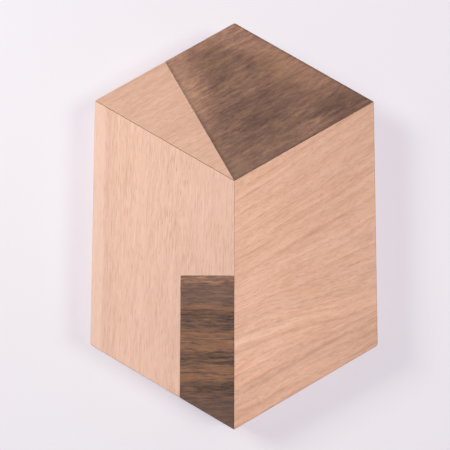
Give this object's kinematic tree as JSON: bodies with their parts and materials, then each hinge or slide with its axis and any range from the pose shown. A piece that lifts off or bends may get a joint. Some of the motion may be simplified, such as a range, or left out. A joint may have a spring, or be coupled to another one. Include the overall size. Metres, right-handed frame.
{
  "type": "flat wooden box puzzle",
  "caption": "Flat hexagonal wooden slab puzzle whose flush light and dark slabs draw a box with a door; hidden dovetail rails let the roof and door slide out.",
  "frame": {"origin": "centre of the hexagonal outline on the back face, where the puzzle rests", "axes": "+Y towards the roof peak, +Z out of the show face, +X to the right as the show face is seen"},
  "size_m": [0.104, 0.15, 0.016],
  "materials": {
    "light_wood_right": "sanded and waxed, satin",
    "light_wood_left": "sanded and waxed, satin",
    "light_wood_gable": "sanded and waxed, satin",
    "dark_wood_roof": "oiled, satin",
    "dark_wood_door": "oiled, satin",
    "rail_wood": "planed, waxed"
  },
  "bodies": {
    "right_wall": {"right_wall": "light_wood_right", "roof_rail": "rail_wood", "centre_rail": "rail_wood"},
    "dark_roof": {"dark_roof": "dark_wood_roof"},
    "left_wall": {"left_wall": "light_wood_left", "gable_rail": "rail_wood", "door_rail": "rail_wood"},
    "light_gable": {"light_gable": "light_wood_gable", "gable_dowels": "rail_wood"},
    "door": {"door": "dark_wood_door"}
  },
  "joints": [
    {"name": "roof_slide", "type": "slide", "parent": "right_wall", "child": "dark_roof", "axis": [0.866, 0.5, 0], "range_m": [0, 0.07]},
    {"name": "left_wall_slide", "type": "slide", "parent": "right_wall", "child": "left_wall", "axis": [0, -1, 0], "range_m": [0, 0.09]},
    {"name": "gable_slide", "type": "slide", "parent": "left_wall", "child": "light_gable", "axis": [-0.866, 0.5, 0], "range_m": [0, 0.09]},
    {"name": "door_slide", "type": "slide", "parent": "left_wall", "child": "door", "axis": [0, -1, 0], "range_m": [0, 0.06]}
  ],
  "couplings": [
    {"joint": "gable_slide", "follows": "left_wall_slide", "ratio": 1}
  ]
}
